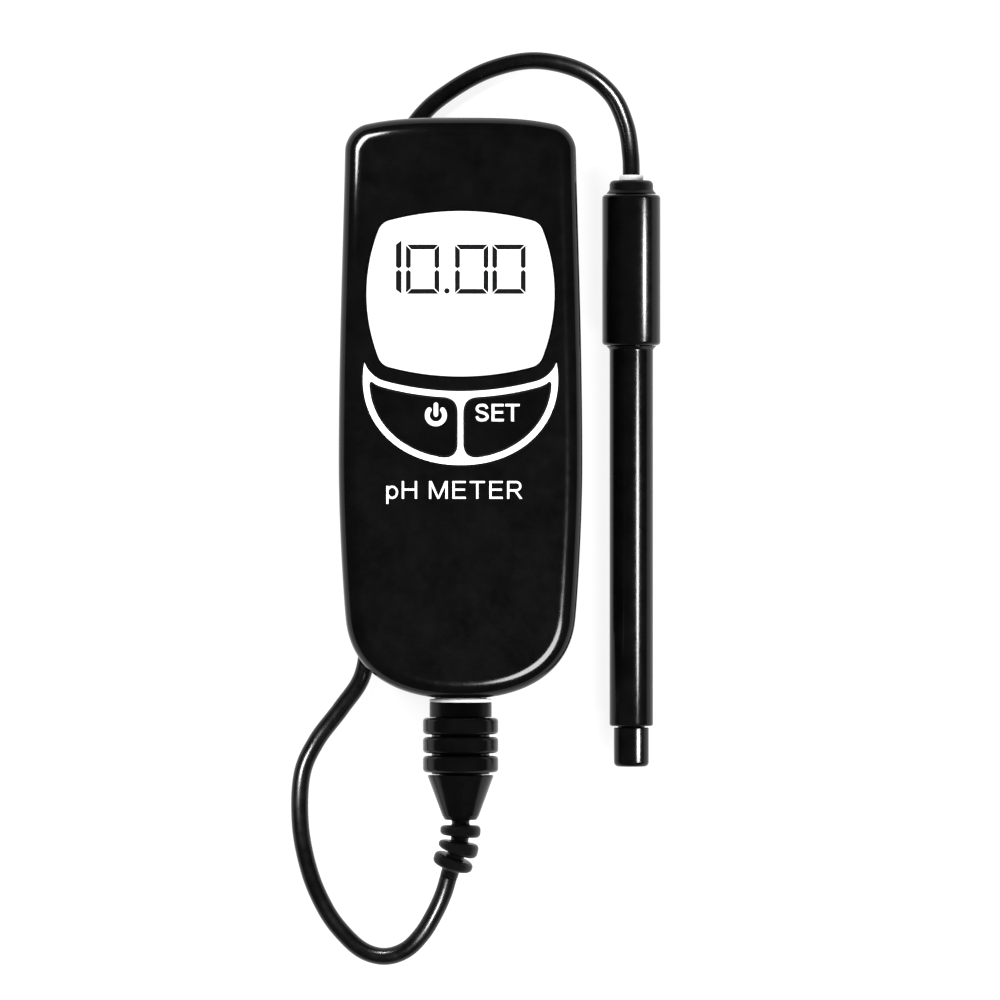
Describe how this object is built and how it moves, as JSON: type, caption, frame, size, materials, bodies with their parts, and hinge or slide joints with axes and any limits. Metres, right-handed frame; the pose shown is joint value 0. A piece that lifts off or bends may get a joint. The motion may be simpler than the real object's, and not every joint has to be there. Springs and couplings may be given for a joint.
{
  "type": "ph meter",
  "caption": "Hand-held pH meter with a display, two crescent keys and a corded glass electrode joined to it by a threaded round plug.",
  "frame": {"origin": "on the flat face of the battery hump that the meter lies on, under the middle of the case", "axes": "+Z the way the display faces, +Y towards the end of the case away from the plug, +X to the side the electrode lies on"},
  "size_m": [0.0983, 0.243, 0.0306],
  "materials": {
    "case_black": "satin, fine moulded texture",
    "seal_rubber": "matt",
    "steel": "plain bright steel",
    "cell_wrap": "printed wrapper over steel",
    "spring_steel": "nickel-plated spring steel",
    "board_green": "solder mask",
    "chip_black": "moulded",
    "window_clear": "clear cover with a pale printed border",
    "lcd_pale": "pale reflective display",
    "white_plastic": "white, satin",
    "elastomer": "layered conductive rubber",
    "key_black": "fine matt with white printing",
    "socket_metal": "black plated",
    "gold_brass": "gold plated",
    "grip_black": "satin moulded",
    "relief_rubber": "matt",
    "cord_rubber": "smooth satin jacket",
    "shaft_black": "satin",
    "electrode_glass": "clear",
    "ceramic_white": "porous"
  },
  "bodies": {
    "meter": {"front_case": "case_black", "rear_case": "case_black", "case_gasket": "seal_rubber", "socket_gasket": "seal_rubber", "case_screw_1": "steel", "case_screw_2": "steel", "case_screw_3": "steel", "case_screw_4": "steel", "board_screw_1": "steel", "board_screw_2": "steel", "board_screw_3": "steel", "board_screw_4": "steel", "socket_nut": "steel", "amplifier_shield": "steel", "battery_cell_1": "cell_wrap", "battery_cell_2": "cell_wrap", "battery_cell_3": "cell_wrap", "contact_negative": "spring_steel", "contact_bridge_lower": "spring_steel", "contact_bridge_upper": "spring_steel", "contact_positive": "spring_steel", "main_board": "board_green", "microcontroller": "chip_black", "power_switch": "chip_black", "set_switch": "chip_black", "lcd_window": "window_clear", "lcd_glass": "lcd_pale", "lcd_frame": "white_plastic", "keypad_bezel": "white_plastic", "socket_insert": "white_plastic", "lcd_connector_lower": "elastomer", "lcd_connector_upper": "elastomer", "socket_shell": "socket_metal", "socket_contact_1": "gold_brass", "socket_contact_2": "gold_brass", "socket_contact_3": "gold_brass", "sensor_lead": "relief_rubber"},
    "power_key": {"power_button": "key_black"},
    "set_key": {"set_button": "key_black"},
    "battery_door": {"battery_door": "case_black"},
    "electrode": {"plug_shell": "steel", "plug_insert": "chip_black", "plug_pin_1": "gold_brass", "plug_pin_2": "gold_brass", "plug_pin_3": "gold_brass", "plug_backshell": "grip_black", "strain_relief": "relief_rubber", "probe_cord": "cord_rubber", "probe_gland": "grip_black", "probe_handle": "grip_black", "probe_shaft": "shaft_black", "glass_electrode": "electrode_glass", "reference_wire": "steel", "temperature_sensor": "gold_brass", "junction_ring": "ceramic_white"},
    "coupling_nut": {"coupling_nut": "grip_black"},
    "protective_cap": {"protective_cap": "grip_black"}
  },
  "joints": [
    {"name": "power_key_press", "type": "slide", "parent": "meter", "child": "power_key", "axis": [0, 0, -1], "range_m": [0, 0.0008], "stiffness_N_per_m": 500, "springref_m": -0.0005},
    {"name": "set_key_press", "type": "slide", "parent": "meter", "child": "set_key", "axis": [0, 0, -1], "range_m": [0, 0.0008], "stiffness_N_per_m": 500, "springref_m": -0.0005},
    {"name": "battery_door_slide", "type": "slide", "parent": "meter", "child": "battery_door", "axis": [0, -1, 0], "range_m": [0, 0.058]},
    {"name": "plug_pull", "type": "slide", "parent": "meter", "child": "electrode", "axis": [0, -1, 0], "range_m": [0, 0.012]},
    {"name": "coupling_nut_turn", "type": "hinge", "parent": "electrode", "child": "coupling_nut", "pos_m": [0, -0.089, 0.017], "axis": [0, 1, 0], "continuous": true},
    {"name": "cap_pull", "type": "slide", "parent": "electrode", "child": "protective_cap", "axis": [0, -1, 0], "range_m": [0, 0.015]}
  ]
}
